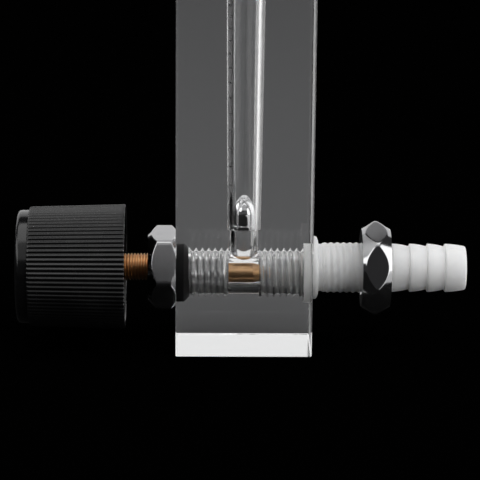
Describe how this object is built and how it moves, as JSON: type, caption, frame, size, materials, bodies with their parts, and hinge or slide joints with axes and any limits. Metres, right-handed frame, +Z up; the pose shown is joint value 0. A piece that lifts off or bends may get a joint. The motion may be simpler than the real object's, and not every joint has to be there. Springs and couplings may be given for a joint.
{
  "type": "gas flowmeter",
  "caption": "Panel gas flowmeter: clear block with a tapered bore and steel float, needle valve with a ribbed front knob, threaded hose barbs at the back.",
  "frame": {"origin": "centre of the acrylic block's flat bottom face", "axes": "+Z up along the metering bore, -X towards the knob, +X towards the hose barbs"},
  "size_m": [0.1063, 0.0296, 0.1226],
  "materials": {
    "clear_acrylic": "clear, polished on the sides, frosted underneath",
    "polished_steel": "polished stainless steel",
    "white_nylon": "moulded, slightly translucent",
    "black_rubber": "smooth",
    "chrome_plate": "plated and polished over brass",
    "brass": "turned",
    "black_plastic": "moulded, semi-gloss",
    "plated_steel": "zinc plated",
    "clear_gasket": "soft white gasket"
  },
  "bodies": {
    "housing": {"meter_block": "clear_acrylic", "float_stop": "polished_steel", "top_plug": "white_nylon", "plug_seal": "black_rubber", "valve_bushing": "chrome_plate", "bushing_seal": "black_rubber", "valve_seat": "white_nylon", "inlet_fitting": "white_nylon", "inlet_seal": "clear_gasket", "outlet_fitting": "white_nylon", "outlet_seal": "clear_gasket"},
    "metering_float": {"steel_float": "polished_steel"},
    "stem_seals": {"stem_seal_front": "black_rubber", "stem_seal_back": "black_rubber"},
    "valve_handle": {"valve_stem": "brass", "knob": "black_plastic", "knob_cap": "black_plastic", "knob_screw": "plated_steel"},
    "lower_nut": {"inlet_nut": "chrome_plate"},
    "upper_nut": {"outlet_nut": "chrome_plate"}
  },
  "joints": [
    {"name": "float_rise", "type": "slide", "parent": "housing", "child": "metering_float", "axis": [0, 0, 1], "range_m": [0, 0.0597]},
    {"name": "stem_travel", "type": "slide", "parent": "housing", "child": "stem_seals", "axis": [1, 0, 0], "range_m": [-0.00225, 0.00075]},
    {"name": "knob_turn", "type": "hinge", "parent": "stem_seals", "child": "valve_handle", "pos_m": [-0.03, 0, 0.018], "axis": [1, 0, 0], "range_deg": [-1080, 360]},
    {"name": "inlet_nut_run", "type": "slide", "parent": "housing", "child": "lower_nut", "axis": [1, 0, 0], "range_m": [-0.01, 0.0045]},
    {"name": "outlet_nut_run", "type": "slide", "parent": "housing", "child": "upper_nut", "axis": [1, 0, 0], "range_m": [-0.01, 0.0045]}
  ],
  "couplings": [
    {"joint": "knob_turn", "follows": "stem_travel", "rad_per_m": 8377.5}
  ]
}
